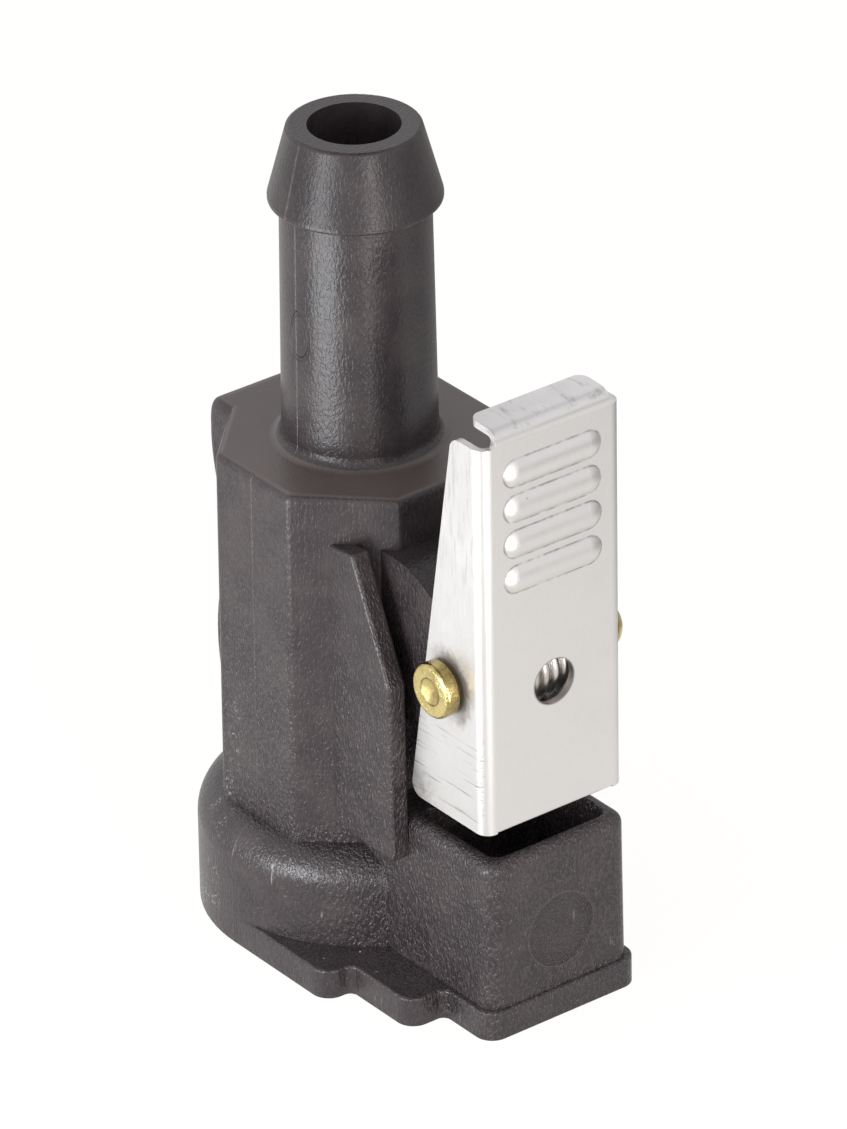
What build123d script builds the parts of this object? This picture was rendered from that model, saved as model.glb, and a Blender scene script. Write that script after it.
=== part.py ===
from build123d import *
import math
import os

# Female quick connector for a marine fuel line: a moulded body with a hose barb on top, a fuel socket
# and a latch-pin hole underneath, and a spring-loaded stainless latch lever on a brass rivet at the front.
# Millimetres, +Z up along the hose bore. The origin is on the hose bore's axis, in the mating face.
# The lever faces -Y and its pin lies along X.

# ---- Driving dimensions: hose barb --------------------------------------------------------------------
total_height = 57.0
hose_bore_radius = 3.07
barb_tip_radius = 4.42
barb_radius = 5.72
barb_cone_height = 4.85
barb_rim_height = 0.4
barb_rim_rounding = 0.18
barb_tip_rounding = 0.28
stem_top_radius = 4.97
stem_foot_radius = 5.17
stem_foot_fillet = 0.8

# ---- Driving dimensions: body moulding ----------------------------------------------------------------
housing_top = 34.5
housing_half_width = 9.08
housing_corner_cut = 5.25
housing_edge_rounding = 0.8
housing_top_rounding = 0.55
housing_draft_deg = 0.3
barrel_radius = 11.38
barrel_top = 8.8
barrel_fillet = 2.6
flange_thickness = 2.1
flange_edge_rounding = 0.22
flange_ear_front = 10.0
flange_wing_step = 2.18
flange_wing_front = 16.25
flange_nose_step = 2.88
flange_front = 20.93
flange_corner_radius = 1.3
flange_notch_radius = 0.6

# ---- Driving dimensions: latch-pin housing at the front -----------------------------------------------
block_half_width = 5.9
block_front = 20.7
block_top = 12.9
block_draft_deg = 0.7
block_corner_radius = 1.3
block_rim_rounding = 0.8
pocket_half_width = 4.65
pocket_front = 19.6
pocket_back = 11.9
pocket_floor = 7.4
pocket_corner_radius = 0.8
pocket_rim_rounding = 0.2
pin_socket_radius = 2.65
pin_socket_reach = 15.2
pin_socket_chamfer = 0.5
witness_radius = 2.65
witness_height = 6.3
witness_depth = 0.06

# ---- Driving dimensions: guard ribs, finger grip and lever lugs ---------------------------------------
rib_outer = 7.12
rib_thickness = 1.42
rib_foot = 10.0
rib_lever_gap = 0.28
rib_front_draw = 0.15
rib_knee_height = 22.9
rib_tip_height = 31.3
rib_tip_reach = 8.2
rib_tip_slope = 0.35
rib_edge_rounding = 0.25
grip_half_width = 4.6
grip_shoulder = 9.5
grip_upper_crest = 10.7
grip_upper_crest_drop = 2.6
grip_waist = 9.35
grip_waist_height = 24.3
grip_lower_crest = 10.6
grip_lower_crest_height = 16.8
grip_foot_height = 10.6
grip_edge_rounding = 0.7
lug_half_width = 4.7
lug_top = 30.85
lug_crown_reach = 9.6
lug_crown_radius = 5.8
lug_nose_radius = 2.9
lug_root_height = 19.0

# ---- Driving dimensions: lever, pin and lever spring --------------------------------------------------
sheet = 0.5
sheet_bend_radius = 0.9
lever_half_width = 5.75
pin_to_face = 3.98
lever_bottom = 15.05
lever_cheek_top = 43.25
lever_top_depth = 3.05
lever_bottom_depth = 7.83
lever_rear_rounding = 0.9
lip_half_width = 4.6
lip_length = 2.05
lip_rise_deg = 2.0
lip_bend_radius = 0.8
lip_swell = 0.1
lip_corner_radius = 0.8
latch_plate_half_width = 4.75
latch_plate_length = 4.2
latch_fold_radius = 0.2
latch_notch_radius = 2.0
finger_rib_count = 4
finger_rib_length = 7.9
finger_rib_width = 2.0
finger_rib_height = 0.4
finger_rib_pitch = 2.56
finger_rib_top = 40.97
face_hole_radius = 1.6
pin_reach = 16.15
pin_height = 24.7
pin_radius = 1.25
pin_lever_clearance = 0.06
pin_lug_clearance = 0.02
pin_head_radius = 1.92
pin_head_gap = 0.35
pin_flat_head_thickness = 0.95
pin_flat_head_rounding = 0.3
pin_round_head_thickness = 2.2
pin_round_head_rounding = 1.85
pin_dimple_radius = 0.95
pin_dimple_depth = 0.22
lever_spring_wire = 0.8
lever_spring_pitch = 0.815
lever_spring_turns = 6
lever_spring_bore_gap = 1.05
lever_spring_slot_gap = 0.25
lever_leg_length = 8.0
leg_gap = 0.03
body_leg_length = 4.6
pin_to_slot_back = 3.75

# ---- Driving dimensions: valve and seals inside the body ----------------------------------------------
retainer_radius = 8.5
retainer_recess = 0.3
retainer_thickness = 2.5
nipple_radius = 4.7
nipple_clearance = 0.1
retainer_lead_in = 0.7
seal_section = 2.4
seal_squeeze = 0.2
seal_end_gap = 0.05
seat_radius = 7.0
seat_thickness = 3.0
seat_hole_radius = 3.2
seat_socket_depth = 1.6
fixed_fit = 0.02
valve_chamber_radius = 6.2
valve_chamber_height = 12.0
poppet_radius = 4.8
poppet_disc_thickness = 1.5
poppet_stem_radius = 1.3
poppet_button_radius = 2.2
poppet_button_height = 1.0
poppet_button_taper = 0.6
poppet_button_rise = 4.6
poppet_vane_thickness = 1.1
poppet_vane_length = 4.5
poppet_guide_clearance = 0.08
valve_seal_width = 1.2
valve_seal_thickness = 0.8
valve_seal_outer_radius = 4.5
valve_seat_gap = 0.03
valve_spring_wire = 0.5
valve_spring_radius = 4.0
valve_spring_turns = 6
valve_travel = 2.6

# Sizes that follow from the driving ones.
lever_face = pin_reach + pin_to_face
spring_slot_back = pin_reach - pin_to_slot_back
rib_front = lever_face - lever_bottom_depth - rib_lever_gap
flange_wing_half_width = barrel_radius - flange_wing_step
flange_nose_half_width = flange_wing_half_width - flange_nose_step
grip_upper_crest_height = housing_top - grip_upper_crest_drop
pin_head_inner = lever_half_width + pin_head_gap
lever_spring_radius = pin_radius + lever_spring_bore_gap + lever_spring_wire / 2
spring_slot_half_width = (lever_spring_turns - 0.5) * lever_spring_pitch / 2 + lever_spring_wire / 2
spring_slot_half_width += lever_spring_slot_gap
seal_space = seal_section + 2 * seal_end_gap
seat_bottom = retainer_recess + retainer_thickness + seal_space
seat_top = seat_bottom + seat_thickness
chamber_top = seat_top + valve_chamber_height


def along_x(side_profile, half_width):
    """A prism along X, centred, from a side profile drawn with Y across and Z up the sheet."""
    return extrude(Plane.YZ * side_profile, amount=half_width, both=True)


def turned(points):
    """A solid of revolution about the hose bore, from its radius and height corners."""
    outline = Polyline(*[Vector(radius, 0, height) for radius, height in points], close=True)
    return revolve(make_face(outline), axis=Axis.Z, revolution_arc=360)


# ---- Body moulding ------------------------------------------------------------------------------------
def hose_barb():
    """Tapered stem with one barb, its cone narrowing to the mouth, blended into the housing's top."""
    barb_foot = total_height - barb_cone_height
    stem = turned([
        (0, housing_top - housing_top_rounding),
        (stem_foot_radius, housing_top - housing_top_rounding),
        (stem_foot_radius, housing_top),
        (stem_top_radius, barb_foot - barb_rim_height),
        (barb_radius, barb_foot - barb_rim_height),
        (barb_radius, barb_foot),
        (barb_tip_radius, total_height),
        (0, total_height),
    ])
    circles = stem.edges().filter_by(GeomType.CIRCLE).group_by(Axis.Z)
    stem = fillet(circles[-1], barb_tip_rounding)
    rim = stem.edges().filter_by(GeomType.CIRCLE).filter_by(
        lambda edge: abs(edge.radius - barb_radius) < 1e-3)
    return fillet(rim, barb_rim_rounding)


def housing():
    """Eight-sided housing with rounded uprights, slight draft and a rounded top edge."""
    width = 2 * housing_half_width
    square = Rectangle(width, width)
    plan = chamfer(square.vertices(), housing_corner_cut)
    plan = fillet(plan.vertices(), housing_edge_rounding)
    prism = extrude(plan, amount=housing_top, taper=housing_draft_deg)
    growth = housing_top * math.tan(math.radians(housing_draft_deg))
    prism = scale(prism, by=((housing_half_width + growth / 2) / housing_half_width,) * 2 + (1,))
    return fillet(prism.edges().group_by(Axis.Z)[-1], housing_top_rounding)


def notch_corner(vertex):
    """Whether a corner of the flange's outline is one of its four inside corners."""
    at_ear = (flange_wing_half_width, flange_ear_front)
    at_nose = (flange_nose_half_width, flange_wing_front)
    return any(
        abs(abs(vertex.X) - x) < 1e-3 and abs(-vertex.Y - y) < 1e-3 for x, y in (at_ear, at_nose))


def flange():
    """Mating flange: round behind, stepped in twice at each side on its way to the latch-pin housing."""
    corners = [
        (-barrel_radius, 0),
        (-barrel_radius, -flange_ear_front),
        (-flange_wing_half_width, -flange_ear_front),
        (-flange_wing_half_width, -flange_wing_front),
        (-flange_nose_half_width, -flange_wing_front),
        (-flange_nose_half_width, -flange_front),
    ]
    mirrored = [(-x, y) for x, y in reversed(corners)]
    plate = make_face(Polyline(*corners, *mirrored, close=True))
    outer = [v for v in plate.vertices() if v.Y < -1 and not notch_corner(v)]
    plate = fillet(outer, flange_corner_radius)
    plate = fillet([v for v in plate.vertices() if notch_corner(v)], flange_notch_radius)
    plate += Circle(barrel_radius)
    slab = extrude(plate, amount=flange_thickness)
    return fillet(slab.edges().group_by(Axis.Z)[-1], flange_edge_rounding)


def barrel():
    """Round lower barrel that holds the fuel socket, with a large rounding on its shoulder."""
    drum = extrude(Circle(barrel_radius), amount=barrel_top)
    return fillet(drum.edges().group_by(Axis.Z)[-1], barrel_fillet)


def latch_pin_housing():
    """Box at the front, open at the top, in which the mate's latch pin rises to the lever."""
    plan = Pos(0, -block_front / 2) * Rectangle(2 * block_half_width, block_front)
    plan = fillet(plan.vertices().group_by(Axis.Y)[0], block_corner_radius)
    block = extrude(plan, amount=block_top, taper=block_draft_deg)
    top_edges = block.edges().group_by(Axis.Z)[-1].filter_by(lambda edge: edge.center().Y < -1)
    block = fillet(top_edges, block_rim_rounding)
    pocket_depth = pocket_front - pocket_back
    pocket = RectangleRounded(2 * pocket_half_width, pocket_depth, pocket_corner_radius)
    pocket_place = Pos(0, -pocket_back - pocket_depth / 2, pocket_floor)
    block -= pocket_place * extrude(pocket, amount=block_top)
    inner_rim = block.edges().group_by(Axis.Z)[-1].filter_by(
        lambda edge: abs(edge.center().X) < pocket_half_width + 0.01
        and -pocket_front - 0.01 < edge.center().Y < -pocket_back + 0.01)
    block = fillet(inner_rim, pocket_rim_rounding)
    lean = math.tan(math.radians(block_draft_deg))
    witness = Rot(90 - block_draft_deg, 0, 0) * Cylinder(
        witness_radius, 1, align=(Align.CENTER, Align.CENTER, Align.MIN))
    return block - Pos(0, -block_front + witness_height * lean + witness_depth, witness_height) * witness


def guard_rib(side):
    """Upright fin beside the lever, slanting back to its tip from the knee upwards."""
    root = housing_half_width / 2
    profile = make_face(Polyline(
        (-root, rib_foot),
        (-rib_front, rib_foot),
        (-rib_front + rib_front_draw, rib_knee_height),
        (-rib_tip_reach, rib_tip_height),
        (-root, rib_tip_height - rib_tip_slope),
        close=True))
    fin = along_x(profile, rib_thickness / 2)
    front = fin.edges().filter_by(lambda edge: edge.center().Y < -root - 0.5)
    fin = fillet(front, rib_edge_rounding)
    return Pos(side * (rib_outer - rib_thickness / 2), 0, 0) * fin


def finger_grip():
    """Waved grip on the back of the housing, flush with its top, for the fingers that pull the coupler."""
    wave = Spline(
        (grip_upper_crest, grip_upper_crest_height),
        (grip_waist, grip_waist_height),
        (grip_lower_crest, grip_lower_crest_height),
        tangents=((0, -1), (0, -1)))
    shoulder = Spline(
        (grip_shoulder, housing_top),
        (grip_upper_crest, grip_upper_crest_height),
        tangents=((1, 0), (0, -1)))
    heel = Spline(
        (grip_lower_crest, grip_lower_crest_height),
        (housing_half_width, grip_foot_height),
        tangents=((0, -1), (-0.6, -1)))
    back = Polyline(
        (housing_half_width, grip_foot_height),
        (0, grip_foot_height),
        (0, housing_top),
        (grip_shoulder, housing_top))
    grip = along_x(make_face(Wire([*shoulder.edges(), *wave.edges(), *heel.edges(), *back.edges()])),
                   grip_half_width)
    rear = grip.edges().filter_by(lambda edge: edge.center().Y > housing_half_width and abs(edge.center().X) > 1)
    return fillet(rear, grip_edge_rounding)


def lever_lugs():
    """Crowned lug block on the housing's front that carries the rivet, slotted for the lever spring."""
    crown = Pos(-lug_crown_reach, lug_top - lug_crown_radius) * Circle(lug_crown_radius)
    nose = Pos(-pin_reach, pin_height) * Circle(lug_nose_radius)
    root = Polyline((0, lug_top), (0, lug_root_height))
    return along_x(make_hull([*crown.edges(), *nose.edges(), *root.edges()]), lug_half_width)


def valve_bore():
    """Stepped bore from the mating face: retainer, seal and seat, valve chamber, then the hose bore."""
    seal_floor = retainer_recess + retainer_thickness
    return turned([
        (0, -1),
        (retainer_radius, -1),
        (retainer_radius, seal_floor),
        (seat_radius, seal_floor),
        (seat_radius, seat_top),
        (valve_chamber_radius, seat_top),
        (valve_chamber_radius, chamber_top),
        (hose_bore_radius, chamber_top),
        (hose_bore_radius, total_height + 1),
        (0, total_height + 1),
    ])


def coupler_body():
    """The single moulding, with its socket, latch-pin hole, pocket, spring slot and rivet hole."""
    body = housing() + barrel() + flange() + latch_pin_housing()
    body += hose_barb()
    stem_root = body.edges().filter_by(GeomType.CIRCLE).filter_by(
        lambda edge: abs(edge.radius - stem_foot_radius) < 1e-3 and abs(edge.center().Z - housing_top) < 1e-3)
    body = fillet(stem_root, stem_foot_fillet)
    body += finger_grip()
    body += lever_lugs()
    for side in (-1, 1):
        body += guard_rib(side)
    body -= valve_bore()
    body -= Pos(0, -pin_socket_reach, -1) * extrude(Circle(pin_socket_radius), amount=pocket_floor + 2)
    body -= Pos(0, -pin_socket_reach, 0) * Cone(
        pin_socket_radius + pin_socket_chamfer, pin_socket_radius, pin_socket_chamfer,
        align=(Align.CENTER, Align.CENTER, Align.MIN))
    slot_top = lug_top + 1
    slot_bottom = pin_height - lug_nose_radius - 1
    slot = Box(2 * spring_slot_half_width, lever_face - spring_slot_back, slot_top - slot_bottom,
               align=(Align.CENTER, Align.MAX, Align.MIN))
    body -= Pos(0, -spring_slot_back, slot_bottom) * slot
    rivet_hole = Rot(0, 90, 0) * Cylinder(pin_radius + pin_lug_clearance, 2 * lug_half_width + 1)
    body -= Pos(0, -pin_reach, pin_height) * rivet_hole
    return body


# ---- Latch lever --------------------------------------------------------------------------------------
def lever_channel():
    """Folded channel: the face and two cheeks, deeper at the foot than at the top."""
    height = lever_cheek_top - lever_bottom
    depth = lever_bottom_depth + 2
    outer = Pos(0, -lever_face + depth / 2) * Rectangle(2 * lever_half_width, depth)
    outer = fillet(outer.vertices().group_by(Axis.Y)[0], sheet_bend_radius)
    inner_half_width = lever_half_width - sheet
    inner = Pos(0, -lever_face + sheet + depth / 2) * Rectangle(2 * inner_half_width, depth)
    inner = fillet(inner.vertices().group_by(Axis.Y)[0], sheet_bend_radius - sheet)
    channel = Pos(0, 0, lever_bottom) * extrude(outer - inner, amount=height)
    rear_top = -lever_face + lever_top_depth
    rear_bottom = -lever_face + lever_bottom_depth
    ahead = -lever_face - 1
    cheek = make_face(Polyline(
        (ahead, lever_bottom),
        (rear_bottom, lever_bottom),
        (rear_top, lever_cheek_top),
        (ahead, lever_cheek_top),
        close=True))
    rear_corners = [corner for corner in cheek.vertices() if corner.X > ahead + 0.1]
    return channel & along_x(fillet(rear_corners, lever_rear_rounding), lever_half_width + 1)


def lever_lip():
    """Top of the face rolled back into a thumb lip: a root in the face, a bend that swells a little forward
    of it, and a flat run with rounded rear corners."""
    radii = (lip_bend_radius, lip_bend_radius - sheet)
    dips = [math.degrees(math.acos((radius - lip_swell) / radius)) for radius in radii]
    rise_to_centre = lip_bend_radius * math.sin(math.radians(dips[0]))
    centre = (-lever_face - lip_swell + lip_bend_radius, lever_cheek_top + rise_to_centre)
    outer, inner = [
        CenterArc(centre, radius, 180 + dip, lip_rise_deg - 90 - dip) for radius, dip in zip(radii, dips)]
    run = lip_length * Vector(math.cos(math.radians(lip_rise_deg)), math.sin(math.radians(lip_rise_deg)))
    root = Vector(-lever_face, lever_cheek_top - sheet)
    root_inner = root + Vector(sheet, 0)
    end = outer @ 1 + run
    end_inner = inner @ 1 + run
    profile = make_face([
        Line(root, outer @ 0), outer, Line(outer @ 1, end), Line(end, end_inner),
        Line(end_inner, inner @ 1), inner, Line(inner @ 0, root_inner), Line(root_inner, root)])
    plan = Pos(0, end.X - lip_length) * Rectangle(2 * lip_half_width, 2 * lip_length)
    plan = fillet(plan.vertices().group_by(Axis.Y)[-1], lip_corner_radius)
    return along_x(profile, lip_half_width) & extrude(plan, amount=2 * lever_cheek_top)


def latch_plate():
    """Foot of the face folded in square, its notched edge catching the groove of the mate's latch pin."""
    plate = Box(2 * latch_plate_half_width, latch_plate_length, sheet,
                align=(Align.CENTER, Align.MIN, Align.MIN))
    heel = plate.edges().filter_by(Axis.X).group_by(Axis.Z)[0].sort_by(Axis.Y)[0]
    plate = Pos(0, -lever_face, lever_bottom) * fillet(heel, latch_fold_radius)
    notch = Pos(0, -pin_socket_reach, lever_bottom) * Cylinder(latch_notch_radius, 4 * sheet)
    return plate - notch


def finger_rib(height):
    """One raised rib of the thumb grip: its outer skin and the hollow pressed behind it."""
    half_width = finger_rib_width / 2
    radius = (half_width ** 2 + finger_rib_height ** 2) / (2 * finger_rib_height)
    centre_y = -lever_face + radius - finger_rib_height
    straight = finger_rib_length - finger_rib_width
    return [Pos(0, centre_y, height) * capsule(size, straight) for size in (radius, radius - sheet)]


def capsule(radius, straight):
    """A round bar along X with ball ends."""
    bar = Rot(0, 90, 0) * Cylinder(radius, straight)
    for end in (-1, 1):
        bar += Pos(end * straight / 2, 0, 0) * Sphere(radius)
    return bar


def face_slab(front, thickness):
    """A slab as wide and tall as the lever's face, from a front plane backwards."""
    return Pos(0, front, lever_bottom) * Box(
        2 * lever_half_width, thickness, lever_cheek_top - lever_bottom,
        align=(Align.CENTER, Align.MIN, Align.MIN))


def latch_lever():
    """The whole pressing, with its rivet holes and the sight hole in front of the spring."""
    lever = lever_channel()
    foot = Box(2 * latch_plate_half_width, 4 * sheet, latch_fold_radius,
               align=(Align.CENTER, Align.CENTER, Align.MIN))
    lever -= Pos(0, -lever_face, lever_bottom) * foot
    lever += lever_lip()
    lever += latch_plate()
    for number in range(finger_rib_count):
        skin, hollow = finger_rib(finger_rib_top - number * finger_rib_pitch)
        lever += skin & face_slab(-lever_face - 2 * finger_rib_height, 2 * finger_rib_height + sheet / 2)
        lever -= hollow & face_slab(-lever_face - 2 * finger_rib_height, 2 * finger_rib_height + 2 * sheet)
    lever -= Pos(0, -lever_face, pin_height) * Rot(90, 0, 0) * Cylinder(face_hole_radius, 4 * sheet)
    lever -= Pos(0, -pin_reach, pin_height) * Rot(0, 90, 0) * Cylinder(
        pin_radius + pin_lever_clearance, 2 * lever_half_width + 1)
    return lever


# ---- Rivet and lever spring ---------------------------------------------------------------------------
def pin_half(head_thickness, head_rounding):
    """Half of the rivet, from the middle of its shank to the end of one head, standing on Z."""
    head_outer = pin_head_inner + head_thickness
    half = make_face(Polyline(
        (0, 0), (pin_radius, 0), (pin_radius, pin_head_inner), (pin_head_radius, pin_head_inner),
        (pin_head_radius, head_outer), (0, head_outer), close=True))
    rim = half.vertices().sort_by(Axis.Y).filter_by(
        lambda corner: corner.X > pin_head_radius - 0.01 and corner.Y > head_outer - 0.01)
    half = fillet(rim, head_rounding)
    return revolve(Plane.XZ * half, axis=Axis.Z, revolution_arc=360)


def lever_pin():
    """Brass rivet through cheeks and lugs: a flat peened head with a dimple on the left, a round one on
    the right."""
    flat = pin_half(pin_flat_head_thickness, pin_flat_head_rounding)
    ball = (pin_dimple_radius ** 2 + pin_dimple_depth ** 2) / (2 * pin_dimple_depth)
    flat_top = pin_head_inner + pin_flat_head_thickness
    flat -= Pos(0, 0, flat_top + ball - pin_dimple_depth) * Sphere(ball)
    pin = Rot(0, -90, 0) * flat + Rot(0, 90, 0) * pin_half(pin_round_head_thickness, pin_round_head_rounding)
    return Pos(0, -pin_reach, pin_height) * pin


def leg_lean(reach, length):
    """Angle in degrees that a leg leans so that its tip ends at a given reach from the rivet's axis."""
    span = math.hypot(lever_spring_radius, length)
    return math.degrees(math.asin(reach / span) - math.atan2(lever_spring_radius, length))


def lever_spring():
    """Torsion spring on the rivet: one leg bears on the lever's face, the other on the slot's back."""
    wire_radius = lever_spring_wire / 2
    lever_lean = leg_lean(lever_face - sheet - pin_reach - wire_radius - leg_gap, lever_leg_length)
    body_lean = leg_lean(pin_reach - spring_slot_back - wire_radius - leg_gap, body_leg_length)
    turns = lever_spring_turns - (180 + lever_lean + body_lean) / 360
    coil_length = turns * lever_spring_pitch
    coil = Helix(pitch=lever_spring_pitch, height=coil_length, radius=lever_spring_radius)
    coil = Pos(-coil_length / 2, 0, 0) * Rot(-90 + lever_lean, 0, 0) * Rot(0, 90, 0) * coil
    spring = sweep(Plane(origin=coil @ 0, z_dir=coil % 0) * Circle(wire_radius), path=coil)
    legs = ((coil @ 0, (coil % 0) * -1, lever_leg_length), (coil @ 1, coil % 1, body_leg_length))
    for place, heading, length in legs:
        spring += extrude(Plane(origin=place, z_dir=heading) * Circle(wire_radius), amount=length)
    return Pos(0, -pin_reach, pin_height) * spring


# ---- Valve and seals ----------------------------------------------------------------------------------
def ring(outer, inner, bottom, top):
    """A plain round ring on the hose bore's axis."""
    height = top - bottom
    tube = extrude(Circle(outer) - Circle(inner), amount=height)
    return Pos(0, 0, bottom) * tube


def seal_retainer():
    """Ring pressed into the mouth, with a lead-in that guides the mate's nipple."""
    top = retainer_recess + retainer_thickness
    bore = nipple_radius + nipple_clearance
    body = ring(retainer_radius - fixed_fit, bore, retainer_recess, top)
    mouth = body.edges().filter_by(GeomType.CIRCLE).group_by(Axis.Z)[0].sort_by(SortBy.RADIUS)[0]
    return chamfer(mouth, retainer_lead_in)


def socket_seal():
    """O-ring that closes on the mate's nipple, held between retainer and valve seat."""
    middle = seat_bottom - seal_space / 2
    centre_radius = nipple_radius - seal_squeeze + seal_section / 2
    return Pos(0, 0, middle) * Torus(centre_radius, seal_section / 2)


def valve_seat():
    """Insert above the seal: a socket for the nipple's tip below, the valve's flat seat above."""
    seat = ring(seat_radius - fixed_fit, seat_hole_radius, seat_bottom, seat_top)
    socket = Pos(0, 0, seat_bottom) * Cylinder(
        nipple_radius + nipple_clearance, seat_socket_depth,
        align=(Align.CENTER, Align.CENTER, Align.MIN))
    return seat - socket


def valve_poppet():
    """Plunger: push button and stem below, disc with a seal groove, four guide vanes up the hose bore."""
    disc_bottom = seat_top + valve_seat_gap
    disc_top = disc_bottom + poppet_disc_thickness
    poppet = turned([
        (0, poppet_button_rise),
        (poppet_button_radius, poppet_button_rise),
        (poppet_button_radius, poppet_button_rise + poppet_button_height),
        (poppet_stem_radius, poppet_button_rise + poppet_button_height + poppet_button_taper),
        (poppet_stem_radius, disc_bottom),
        (poppet_radius, disc_bottom),
        (poppet_radius, disc_top),
        (0, disc_top),
    ])
    vane_top = chamber_top + poppet_vane_length
    guide_radius = hose_bore_radius - poppet_guide_clearance
    height = vane_top - disc_top
    cross = Box(2 * guide_radius, poppet_vane_thickness, height) + Box(
        poppet_vane_thickness, 2 * guide_radius, height)
    cross = cross & Cylinder(guide_radius, height)
    poppet += Pos(0, 0, disc_top + height / 2) * cross
    groove = ring(
        valve_seal_outer_radius + fixed_fit, valve_seal_outer_radius - valve_seal_width - fixed_fit,
        disc_bottom - 1, disc_bottom + valve_seal_thickness)
    return poppet - groove


def valve_seal():
    """Flat rubber ring in the poppet's groove."""
    bottom = seat_top + valve_seat_gap
    return ring(valve_seal_outer_radius, valve_seal_outer_radius - valve_seal_width,
                bottom, bottom + valve_seal_thickness)


def valve_spring():
    """Compression spring between the poppet's disc and the chamber's roof."""
    disc_top = seat_top + valve_seat_gap + poppet_disc_thickness
    height = chamber_top - disc_top - valve_spring_wire
    path = Helix(pitch=height / valve_spring_turns, height=height, radius=valve_spring_radius)
    section = Plane(origin=path @ 0, z_dir=path % 0) * Circle(valve_spring_wire / 2)
    coil = sweep(section, path=path)
    return Pos(0, 0, disc_top + valve_spring_wire / 2) * coil


def main():
    """Write every node to its own file."""
    os.makedirs("parts", exist_ok=True)
    nodes = {
        "coupler_body": coupler_body,
        "latch_lever": latch_lever,
        "lever_pin": lever_pin,
        "lever_spring": lever_spring,
        "seal_retainer": seal_retainer,
        "socket_seal": socket_seal,
        "valve_seat": valve_seat,
        "valve_poppet": valve_poppet,
        "valve_seal": valve_seal,
        "valve_spring": valve_spring,
    }
    for name, build in nodes.items():
        export_step(build(), f"parts/{name}.step")


main()
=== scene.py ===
"""Fuel line quick connector: finishes, small surface detail, floor, light and camera."""
import math

import bmesh
import bpy
from mathutils import Matrix, Vector


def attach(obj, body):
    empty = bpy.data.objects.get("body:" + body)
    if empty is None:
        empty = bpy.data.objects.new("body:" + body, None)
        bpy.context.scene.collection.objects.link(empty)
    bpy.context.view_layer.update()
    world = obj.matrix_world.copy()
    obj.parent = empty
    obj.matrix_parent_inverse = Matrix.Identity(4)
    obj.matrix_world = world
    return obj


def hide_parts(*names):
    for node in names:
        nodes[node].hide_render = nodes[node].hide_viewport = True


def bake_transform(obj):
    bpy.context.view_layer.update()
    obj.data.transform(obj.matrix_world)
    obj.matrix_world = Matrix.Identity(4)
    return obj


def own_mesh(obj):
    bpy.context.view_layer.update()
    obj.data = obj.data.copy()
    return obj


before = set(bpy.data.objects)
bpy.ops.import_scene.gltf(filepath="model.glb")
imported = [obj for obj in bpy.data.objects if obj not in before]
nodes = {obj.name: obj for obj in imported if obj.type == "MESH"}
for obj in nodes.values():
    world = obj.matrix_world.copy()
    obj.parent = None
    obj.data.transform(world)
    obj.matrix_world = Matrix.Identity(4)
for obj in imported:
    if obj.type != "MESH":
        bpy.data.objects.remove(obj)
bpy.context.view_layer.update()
MM = 0.001

# ---- Camera -------------------------------------------------------------------------------
# The connector stands upright on its mating face, seen from the left of the lever and a
# little above. A long lens keeps its upright edges nearly parallel.
view_azimuth = math.radians(-37.449)
view_elevation = math.radians(29.166)
view_roll = math.radians(0.984)
view_distance = 633.503 * MM
aim_point = Vector((9.499, 5.875, 18.707)) * MM
film_size = 36.0
focal_length = 301.3086

toward_camera = Vector((math.sin(view_azimuth) * math.cos(view_elevation),
                        -math.cos(view_azimuth) * math.cos(view_elevation),
                        math.sin(view_elevation)))
level_right = Vector((math.cos(view_azimuth), math.sin(view_azimuth), 0.0))
level_up = toward_camera.cross(level_right)
camera_right = level_right * math.cos(view_roll) - level_up * math.sin(view_roll)
camera_up = level_right * math.sin(view_roll) + level_up * math.cos(view_roll)

camera_data = bpy.data.cameras.new("view_camera")
camera_data.sensor_width = film_size
camera_data.lens = focal_length
camera_data.clip_start = 0.01
camera_data.clip_end = 20.0
camera = bpy.data.objects.new("view_camera", camera_data)
bpy.context.scene.collection.objects.link(camera)
camera_axes = Matrix((camera_right, camera_up, toward_camera)).transposed()
camera.matrix_world = (Matrix.Translation(aim_point + toward_camera * view_distance)
                       @ camera_axes.to_4x4())
bpy.context.scene.camera = camera
bpy.context.scene.view_settings.view_transform = "Standard"


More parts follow.
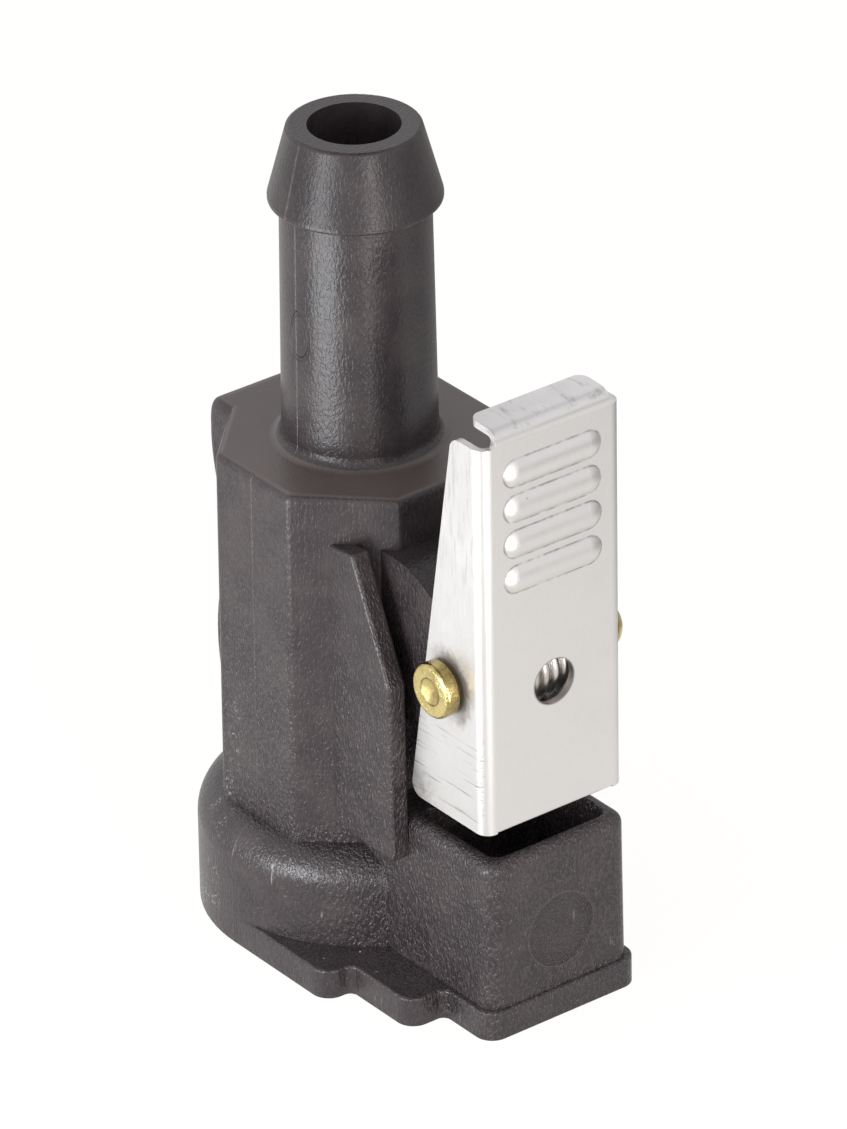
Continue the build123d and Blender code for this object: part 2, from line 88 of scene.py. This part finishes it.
# ---- Coupler body -------------------------------------------------------------------------
# One injection moulding in black glass-filled nylon: barb, housing, barrel, flange and latch
# housing. The tool is spark eroded, so most of it carries a fine leathery grain, and the two
# halves of the tool meet in a thin line along both sides.
class Signal:
    """A value that changes over a surface: one output of a shader node, with arithmetic."""

    def __init__(self, tree, output=None):
        self.tree = tree
        self.output = output

    def node(self, kind, settings=None, sockets=None, output=0):
        """Adds a node: first its settings, then the values or links of its sockets."""
        added = self.tree.nodes.new(kind)
        for name, value in (settings or {}).items():
            setattr(added, name, value)
        for key, value in (sockets or {}).items():
            if isinstance(value, Signal):
                self.tree.links.new(value.output, added.inputs[key])
            else:
                added.inputs[key].default_value = value
        return Signal(self.tree, added.outputs[output] if added.outputs else None)

    def math(self, operation, *values):
        return self.node("ShaderNodeMath", {"operation": operation}, dict(enumerate(values)))

    def __add__(self, other):
        return self.math("ADD", self, other)

    def __sub__(self, other):
        return self.math("SUBTRACT", self, other)

    def __rsub__(self, other):
        return self.math("SUBTRACT", other, self)

    def __mul__(self, other):
        return self.math("MULTIPLY", self, other)

    def __truediv__(self, other):
        return self.math("DIVIDE", self, other)

    def __abs__(self):
        return self.math("ABSOLUTE", self)

    __radd__ = __add__
    __rmul__ = __mul__

    def step(self, low, high):
        """0 below low, 1 above high and a smooth ramp between; low may be the larger one."""
        return self.node("ShaderNodeMapRange", {"interpolation_type": "SMOOTHSTEP"},
                         {"Value": self, "From Min": low, "From Max": high})

    def blend(self, first, second):
        """From the first colour to the second as this signal goes from 0 to 1."""
        return self.node("ShaderNodeMix", {"data_type": "RGBA"},
                         {0: self, 6: first, 7: second}, output=2)

    def split(self):
        """The three parts of a vector."""
        parts = self.node("ShaderNodeSeparateXYZ", {}, {0: self}).output.node.outputs
        return [Signal(self.tree, part) for part in parts]

    def length(self, first, second):
        """The length of a vector that has these two parts."""
        return self.math("SQRT", first * first + second * second)

    def noise(self, place, scale, detail=2.0, roughness=0.5, distortion=0.0):
        return self.node("ShaderNodeTexNoise", {},
                         {"Vector": place, "Scale": scale, "Detail": detail,
                          "Roughness": roughness, "Distortion": distortion})

    def specks(self, place, scale, share, size):
        """Small round dots, one to a cell in the given share of cells."""
        cells = self.tree.nodes.new("ShaderNodeTexVoronoi")
        cells.inputs["Scale"].default_value = scale
        self.tree.links.new(place.output, cells.inputs["Vector"])
        near = Signal(self.tree, cells.outputs["Distance"]).step(size, size * 0.4)
        pick = self.node("ShaderNodeSeparateColor", {},
                         {0: Signal(self.tree, cells.outputs["Color"])})
        return near * pick.step(1.0 - share, 1.0 - share + 0.01)

    def stretch(self, place, x, y, z):
        return self.node("ShaderNodeMapping", {}, {"Vector": place, "Scale": (x, y, z)})


def new_material(name):
    material = bpy.data.materials.new(name)
    material.use_nodes = True
    material.node_tree.nodes.clear()
    return material, Signal(material.node_tree)


def close_material(signal, **sockets):
    shader = signal.node("ShaderNodeBsdfPrincipled", {},
                         {key.replace("_", " "): value for key, value in sockets.items()})
    signal.node("ShaderNodeOutputMaterial", {}, {"Surface": shader})


def object_place(signal):
    """Object coordinates in metres, and their three parts in millimetres."""
    place = signal.node("ShaderNodeTexCoord", {}, {}, output="Object")
    return [place] + [part / MM for part in place.split()]


def dress(node_name, material):
    """Gives a CAD node one material."""
    mesh = nodes[node_name].data
    mesh.materials.clear()
    mesh.materials.append(material)


nylon_valley = (0.022, 0.0165, 0.0185, 1.0)
nylon_ridge = (0.041, 0.033, 0.035, 1.0)
nylon_haze_and_painted_sheen = (0.105, 0.083, 0.076, 1.0)
nylon_pale = (0.52, 0.51, 0.50, 1.0)
housing_top = 34.5
barrel_top = 8.8
stem_radius = 5.1
flank_x = 9.0
corner_start = 12.3
corner_end = 13.2
witness_height = 6.3
witness_radius = 2.65
block_face = -20.4
gate_height = 43.4
gate_across = -0.3
gate_half_height = 1.65
relief_depth = 0.048 * MM

nylon, s = new_material("glass_filled_nylon")
place, x, y, z = object_place(s)

# Where things are: the top face, the smoother left of the barrel, the stem and barb, and the
# round witness that an insert of the tool left on the latch housing's front.
on_top_face = (z.step(housing_top - 0.14, housing_top - 0.04)
               * z.step(housing_top + 0.2, housing_top + 0.1))
on_barrel_side = abs(x).step(6.5, 9.5) * z.step(barrel_top + 0.2, barrel_top - 0.5)
on_stem = z.step(housing_top + 0.3, housing_top + 0.9)
from_witness = s.length(x, z - witness_height)
on_block_face = y.step(block_face, block_face - 0.1)
in_witness = from_witness.step(witness_radius + 0.05, witness_radius - 0.05) * on_block_face
witness_ring = abs(from_witness - witness_radius).step(0.13, 0.03) * on_block_face

# The eroded grain: short upright ridges, boldest low down, finer inside the witness.
coarse_grain = s.noise(s.stretch(place, 1.0, 1.0, 0.50), 5400, 1.0, 0.5, 0.4).step(0.40, 0.64)
fine_grain = s.noise(place, 8600, 1.0, 0.5, 0.5).step(0.38, 0.64)
grain = coarse_grain + in_witness * (fine_grain - coarse_grain)
corner_sum = abs(x) + abs(y)
on_cut_corner = (corner_sum.step(corner_start, corner_start + 0.4)
                 * corner_sum.step(corner_end, corner_end - 0.2)
                 * abs(x).step(flank_x + 0.05, flank_x - 0.05)
                 * z.step(barrel_top + 0.5, barrel_top + 1.5))
low_down = z.step(30.0, 13.0)
boldness = ((0.40 + 0.60 * low_down) * (1.0 - 0.85 * on_top_face)
            * (1.0 - 0.55 * on_barrel_side) * (1.0 - 0.55 * on_cut_corner)
            * (1.0 - 0.45 * on_stem))
flow = s.noise(s.stretch(place, 1.0, 1.0, 0.06), 5200, 2.0, 0.5)

# The tool's parting line up both sides, and the gate's drop-shaped scar low on the stem.
on_sides = abs(x).step(stem_radius - 1.0, stem_radius - 0.8) * (1.0 - on_top_face)
parting = abs(y).step(0.11, 0.02) * on_sides
parting_step = y.step(-0.02, 0.06) * on_sides
gate_y = (y - gate_across) / (0.85 - 0.12 * (z - gate_height))
gate_z = (z - gate_height) / gate_half_height
from_gate = s.length(gate_y, gate_z)
gate_edge = abs(from_gate - 1.0).step(0.16, 0.04) * x.step(-3.0, -3.5) * on_stem

relief = (boldness * grain + (0.16 + 0.22 * on_cut_corner) * flow + parting + 0.5 * parting_step
          + 0.40 * witness_ring - 2.0 * gate_edge)
relief_normal = s.node("ShaderNodeBump", {}, {"Height": relief, "Distance": relief_depth})

# A brownish sheen painted on the top face stands in for its reflection, a painted highlight runs along the
# witness ring, the parting line is lighter and a cloudy haze lies at random. Handling marks: worn ridges,
# pale flecks and upright scuffs.
clouds = s.noise(place, 300, 3.0, 0.6).step(0.35, 0.75)
flecks = s.noise(place, 5200, 2.0, 0.6).step(0.58, 0.66)
fleck_patch = (s.noise(place, 420, 2.0, 0.5).step(0.44, 0.60)
               * x.step(-flank_x + 0.1, -flank_x) * y.step(1.4, 2.4) * z.step(20.0, 14.0))
scuffs = (s.noise(s.stretch(place, 1.0, 1.0, 0.14), 2600, 2.0, 0.5).step(0.70, 0.78)
          * z.step(9.0, 7.0))
dots = s.specks(place, 260, 0.10, 0.03)
# Painted reflection on the top face and a painted highlight on the witness ring, over a random cloudy haze.
haze_and_painted_sheen = s.math("MINIMUM", 0.85 * on_top_face + 0.22 * clouds + 0.35 * witness_ring
              + 0.30 * parting, 1.0)
pale = s.math("MINIMUM", 0.8 * dots + 0.6 * flecks * fleck_patch + 0.25 * scuffs, 1.0)
worn = 0.42 + boldness * (grain - 0.45) - 0.9 * gate_edge
colour = haze_and_painted_sheen.blend(s.math("MAXIMUM", worn, 0.0).blend(nylon_valley, nylon_ridge), nylon_haze_and_painted_sheen)
close_material(s, Base_Color=pale.blend(colour, nylon_pale),
               Roughness=0.27 + 0.06 * clouds + 0.08 * on_top_face, Normal=relief_normal)
dress("coupler_body", nylon)

# ---- Valve, its seat and its spring -------------------------------------------------------
# The check valve inside the body: a white acetal seat pressed into the bore, an acetal
# poppet with guide vanes, a small rubber ring in its groove, and a stainless coil spring.
acetal_white = (0.72, 0.71, 0.67, 1.0)
acetal_shade = (0.60, 0.585, 0.54, 1.0)
acetal, s = new_material("natural_acetal")
place = object_place(s)[0]
milky = s.noise(place, 420, 3.0, 0.55).step(0.3, 0.75)
turned_rings = s.noise(s.stretch(place, 0.2, 0.2, 1.0), 6000, 1.0, 0.5)
close_material(s, Base_Color=milky.blend(acetal_white, acetal_shade),
               Roughness=0.34 + 0.12 * milky,
               Normal=s.node("ShaderNodeBump", {}, {"Height": turned_rings,
                                                    "Distance": 0.006 * MM}),
               Subsurface_Weight=0.08, Subsurface_Scale=0.4 * MM)
dress("valve_seat", acetal)
dress("valve_poppet", acetal)

wire_bright = (0.82, 0.80, 0.77, 1.0)
wire_dull = (0.46, 0.41, 0.36, 1.0)
spring_wire, s = new_material("spring_wire")
place = object_place(s)[0]
drawn = s.noise(place, 1400, 3.0, 0.6).step(0.35, 0.7)
tarnish = s.noise(place, 380, 2.0, 0.5).step(0.42, 0.72)
close_material(s, Base_Color=(drawn * 0.35 + tarnish * 0.5).blend(wire_bright, wire_dull),
               Metallic=1.0, Roughness=0.24 + 0.16 * tarnish,
               Normal=s.node("ShaderNodeBump", {}, {"Height": drawn,
                                                    "Distance": 0.004 * MM}))


def flexing_copy(node_name, piece_name, material):
    """A merged copy of a CAD spring that stands for its node."""
    mesh = nodes[node_name].data.copy()
    piece = bpy.data.objects.new(piece_name, mesh)
    bpy.context.scene.collection.objects.link(piece)
    wire = bmesh.new()
    wire.from_mesh(mesh)
    bmesh.ops.remove_doubles(wire, verts=wire.verts, dist=0.002 * MM)
    for face in wire.faces:
        face.smooth = True
        face.material_index = 0
    wire.to_mesh(mesh)
    wire.free()
    mesh.materials.clear()
    mesh.materials.append(material)
    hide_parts(node_name)
    return piece


valve_wire = flexing_copy("valve_spring", "valve_spring_wire", spring_wire)
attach(valve_wire, "coupler")
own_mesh(valve_wire)

rubber_black = (0.010, 0.010, 0.010, 1.0)
rubber_bloom = (0.045, 0.045, 0.046, 1.0)
rubber, s = new_material("fuel_resistant_rubber")
place = object_place(s)[0]
bloom = s.noise(place, 900, 4.0, 0.6).step(0.45, 0.8)
pores = s.noise(place, 9000, 2.0, 0.6)
close_material(s, Base_Color=bloom.blend(rubber_black, rubber_bloom),
               Roughness=0.48 + 0.15 * bloom,
               Normal=s.node("ShaderNodeBump", {}, {"Height": pores,
                                                    "Distance": 0.005 * MM}))
dress("valve_seal", rubber)

# ---- Socket seal and its retainer ---------------------------------------------------------
# The O-ring that grips the tank nipple, and the black nylon ring pressed in behind the
# mating face that keeps it there. The ring is from a smoother tool than the body.
retainer_black = (0.021, 0.020, 0.021, 1.0)
retainer_worn = (0.060, 0.056, 0.054, 1.0)
retainer_nylon, s = new_material("retainer_nylon")
place = object_place(s)[0]
rubbed = s.noise(place, 700, 3.0, 0.6).step(0.45, 0.75)
pitted = s.noise(place, 6500, 2.0, 0.5)
close_material(s, Base_Color=(rubbed * 0.5).blend(retainer_black, retainer_worn),
               Roughness=0.40 + 0.14 * rubbed,
               Normal=s.node("ShaderNodeBump", {}, {"Height": pitted,
                                                    "Distance": 0.007 * MM}))
dress("seal_retainer", retainer_nylon)
dress("socket_seal", rubber)

# ---- Lever pin ----------------------------------------------------------------------------
# The hinge of the lever: a brass rivet with a round head on one side. The other end is
# peened flat over the cheek, with the punch's dimple in the middle. A dark band painted round the rim of
# each head is painted shade.
lever_pin_y = -16.15
lever_pin_z = 24.7
pin_dimple = 0.95
pin_rim = 1.92
peened_end = -6.4
ring_pitch = 62.0
brass_bright = (0.86, 0.72, 0.31, 1.0)
brass_tarnish_and_shade = (0.20, 0.13, 0.045, 1.0)

brass, s = new_material("rivet_brass")
place, x, y, z = object_place(s)
from_axis = s.length(y - lever_pin_y, z - lever_pin_z)
mottle = s.noise(place, 1700, 3.0, 0.6).step(0.38, 0.68)
patches = s.noise(place, 700, 2.0, 0.5).step(0.45, 0.66)
peened = s.noise(place, 3200, 2.0, 0.6)
rings = s.math("SINE", from_axis * ring_pitch)
# Painted shade: each head darkens toward its rim.
rim_painted_shade = from_axis.step(pin_rim - 0.26, pin_rim - 0.10)
dimple_tarnish = from_axis.step(pin_dimple + 0.04, pin_dimple - 0.05) * x.step(peened_end, peened_end - 0.2)
dimple_edge = abs(from_axis - pin_dimple).step(0.10, 0.03) * x.step(peened_end, peened_end - 0.2)
brown_and_painted_shade = (0.20 * mottle + 0.25 * patches + 0.42 * rim_painted_shade + 0.30 * dimple_tarnish
         + 0.5 * dimple_edge)
hammered = peened + 0.15 * rings + 0.8 * mottle
close_material(s, Base_Color=s.math("MINIMUM", brown_and_painted_shade, 1.0).blend(brass_bright, brass_tarnish_and_shade),
               Metallic=1.0, Roughness=0.17 + 0.14 * mottle + 0.16 * dimple_tarnish,
               Normal=s.node("ShaderNodeBump", {}, {"Height": hammered, "Distance": 0.022 * MM}))
dress("lever_pin", brass)

# ---- Lever spring -------------------------------------------------------------------------
# The stainless torsion spring around the pin, between the cheeks of the lever. It pushes
# the foot of the lever in, over the latch pin. Its coil twists: the right leg stays in the
# body and the left one goes with the lever.
lever_wire = flexing_copy("lever_spring", "lever_spring_wire", spring_wire)
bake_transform(lever_wire)

# ---- Latch lever --------------------------------------------------------------------------
# The lever that lets the latch pin go: one stamping in half-millimetre stainless sheet with
# folded cheeks, four raised grip ribs, a sight hole and a rolled top lip. It is finely
# brushed and its cheeks carry scratches; the rivet head's shadow is painted on the cheek as a brown patch.
steel_pale = (0.84, 0.825, 0.81, 1.0)
steel_grey = (0.34, 0.32, 0.305, 1.0)
steel_painted_shade_brown = (0.11, 0.08, 0.065, 1.0)
cheek_x = 5.75
lever_front = -20.0
rib_half_straight = 2.95
rib_half_width = 1.0
rib_pitch = 2.56
rib_top = 40.97
lip_level = 43.9
sight_hole = 1.6

stainless, s = new_material("brushed_stainless")
place, x, y, z = object_place(s)
on_cheek = abs(x).step(cheek_x - 0.35, cheek_x - 0.1)
on_face = y.step(lever_front + 0.1, lever_front - 0.05)

# Brushing runs up the sheet; the lower cheeks are scratched across, where they rub the body.
brushed = s.noise(s.stretch(place, 1.0, 1.0, 0.045), 9500, 2.0, 0.6)
brushed_coarse = s.noise(s.stretch(place, 1.0, 1.0, 0.10), 4300, 2.0, 0.6).step(0.5, 0.8)
satin = s.noise(place, 11000, 2.0, 0.6)
slanted = s.node("ShaderNodeMapping", {},
                 {"Vector": place, "Rotation": (math.radians(-6), 0.0, 0.0),
                  "Scale": (1.0, 0.05, 1.0)})
scratches = s.noise(slanted, 3900, 2.0, 0.55).step(0.56, 0.74)
scratched = scratches * on_cheek * z.step(24.0, 20.0)
brushed_high = brushed_coarse * on_cheek * z.step(30.0, 36.0)

# Painted shadow of the rivet head on the cheek, above and in front of it; painted shade along
# the grip ribs' edges and round the sight hole; grime on the lip; darker in the cheeks' low rear corners.
pin_y = y - lever_pin_y
pin_z = z - lever_pin_z
pin_distance = s.length(pin_y, pin_z)
ragged = s.noise(place, 950, 3.0, 0.65)
# Painted shadow of the rivet head: a brown patch on the cheek above and in front of it.
rivet_painted_shadow = ((pin_distance - 1.7 * ragged).step(2.3, 1.3) * on_cheek
         * (0.25 * pin_z - 0.55 * pin_y).step(-1.0, 1.1))
rib_local = s.math("PINGPONG", rib_top + 10.0 * rib_pitch - z, rib_pitch / 2)
rib_end = s.math("MAXIMUM", abs(x) - rib_half_straight, 0.0)
rib_distance = s.length(rib_end, rib_local) - rib_half_width
rib_zone = (z.step(rib_top - 3.6 * rib_pitch, rib_top - 3.4 * rib_pitch)
            * z.step(rib_top + 1.3, rib_top + 1.2))
# Painted shade: a thin brown line round each grip rib, where it meets the face.
rib_edge_painted_shade = abs(rib_distance).step(0.10, 0.02) * on_face * rib_zone * ragged.step(0.30, 0.62)
hole_distance = s.length(x, pin_z)
# Painted shade: a thin brown ring round the sight hole.
hole_rim_painted_shade = abs(hole_distance - sight_hole).step(0.13, 0.03) * y.step(-19.0, -19.5)
lip_smudge = (z.step(lip_level, lip_level + 0.3)
              * s.noise(s.stretch(place, 1.0, 0.25, 1.0), 1500, 3.0, 0.65).step(0.52, 0.74))
# Darker in the cheeks' low rear corners.
low_rear_corner_darkening = z.step(18.2, 15.2) * y.step(-16.5, -13.6) * on_cheek * ragged.step(0.35, 0.7)
right_edge = x.step(cheek_x - 0.75, cheek_x - 0.15) * ragged.step(0.15, 0.75)
pits = s.specks(place, 360, 0.09, 0.055) + s.specks(place, 900, 0.05, 0.10)

clouded = s.noise(place, 260, 3.0, 0.6).step(0.4, 0.75)
grey = (0.08 * clouded + 0.16 * satin + 0.75 * scratched + 0.45 * brushed_high + 0.50 * lip_smudge
        + 0.35 * right_edge + 0.6 * pits)
brown_and_painted_shade = 0.80 * rivet_painted_shadow + 0.55 * rib_edge_painted_shade + 0.60 * hole_rim_painted_shade + 0.45 * low_rear_corner_darkening
colour = s.math("MINIMUM", brown_and_painted_shade, 0.9).blend(
    s.math("MINIMUM", grey, 1.0).blend(steel_pale, steel_grey), steel_painted_shade_brown)
close_material(s, Base_Color=colour, Metallic=1.0,
               Roughness=0.34 + 0.10 * satin + 0.08 * clouded + 0.20 * rivet_painted_shadow,
               Normal=s.node("ShaderNodeBump", {},
                             {"Height": brushed + 0.6 * satin - 1.2 * scratched,
                              "Distance": 0.009 * MM}))
dress("latch_lever", stainless)

# ---- Floor, backdrop and light ------------------------------------------------------------
# A white table top that keeps the connector's soft shadow. A tall cool window stands on the
# left and a warmer one in front, each with a low card close in that lights the foot of the
# connector more than its barb. The pale room ends in a dark ceiling.
floor_half = 1.6
floor_mesh = bpy.data.meshes.new("floor")
floor_mesh.from_pydata([(-floor_half, -floor_half, 0.0), (floor_half, -floor_half, 0.0),
                        (floor_half, floor_half, 0.0), (-floor_half, floor_half, 0.0)],
                       [], [(0, 1, 2, 3)])
floor = bpy.data.objects.new("floor", floor_mesh)
bpy.context.scene.collection.objects.link(floor)
table, s = new_material("white_table")
seen = s.node("ShaderNodeLightPath", {}, {}, output="Is Camera Ray")
mirrored = s.node("ShaderNodeLightPath", {}, {}, output="Is Glossy Ray")
place, x, y, z = object_place(s)
# In reflections the table glows as painted light: brighter toward the left window and dimmer on the right.
right_side = (0.985 * x + 0.17 * y).step(36.0, 84.0)
left_side = (0.79 * x + 0.61 * y).step(-12.0, -50.0)
reflected_painted_glow = (1.0 - 0.60 * right_side) * (1.0 - 0.26 * left_side)
matt = s.node("ShaderNodeBsdfDiffuse", {}, {"Color": (0.80, 0.79, 0.78, 1.0)})
glow = s.node("ShaderNodeEmission", {}, {"Color": (1.0, 0.985, 0.97, 1.0),
                                         "Strength": 1.07 * seen + 0.88 * mirrored * reflected_painted_glow})
s.node("ShaderNodeOutputMaterial", {},
       {"Surface": s.node("ShaderNodeMixShader", {},
                          {0: 0.88 * seen + 0.85 * mirrored, 1: matt, 2: glow})})
floor_mesh.materials.append(table)

ceiling = 0.06
world = bpy.data.worlds.new("pale_room")
bpy.context.scene.world = world
world.use_nodes = True
world.node_tree.nodes.clear()
s = Signal(world.node_tree)
seen = s.node("ShaderNodeLightPath", {}, {}, output="Is Camera Ray")
direction = s.node("ShaderNodeTexCoord", {}, {}, output="Generated")
rightward, _, upward = direction.split()
room = ceiling + upward.step(0.97, 0.86) * (1.0 - 0.45 * rightward.step(0.3, 0.8))
room_light = s.node("ShaderNodeBackground", {}, {"Color": (0.98, 0.98, 1.0, 1.0),
                                                 "Strength": room + seen * (1.0 - room)})
s.node("ShaderNodeOutputWorld", {}, {"Surface": room_light})


def soft_light(name, azimuth, distance, width, height, foot, radiance, colour):
    """An upright lit panel that faces the connector, its lower edge at foot above the table."""
    data = bpy.data.lights.new(name, "AREA")
    data.shape = "RECTANGLE"
    data.size = width
    data.size_y = height
    data.energy = radiance * math.pi * width * height
    data.color = colour
    light = bpy.data.objects.new(name, data)
    bpy.context.scene.collection.objects.link(light)
    away = Vector((math.sin(azimuth), -math.cos(azimuth), 0.0))
    light.location = away * distance + Vector((0.0, 0.0, foot + height / 2))
    light.rotation_euler = away.to_track_quat("Z", "Y").to_euler()
    light.visible_camera = False


left_window = (0.93, 0.97, 1.0)
front_window = (1.0, 0.94, 0.89)
soft_light("window_left", math.radians(-84), 0.17, 0.066, 0.100, 0.002, 5.2, left_window)
soft_light("card_left", math.radians(-84), 0.075, 0.050, 0.028, 0.001, 7.0, left_window)
soft_light("window_front", math.radians(-14), 0.24, 0.050, 0.110, 0.002, 5.0, front_window)
soft_light("card_front", math.radians(-14), 0.09, 0.040, 0.034, 0.001, 4.5, front_window)
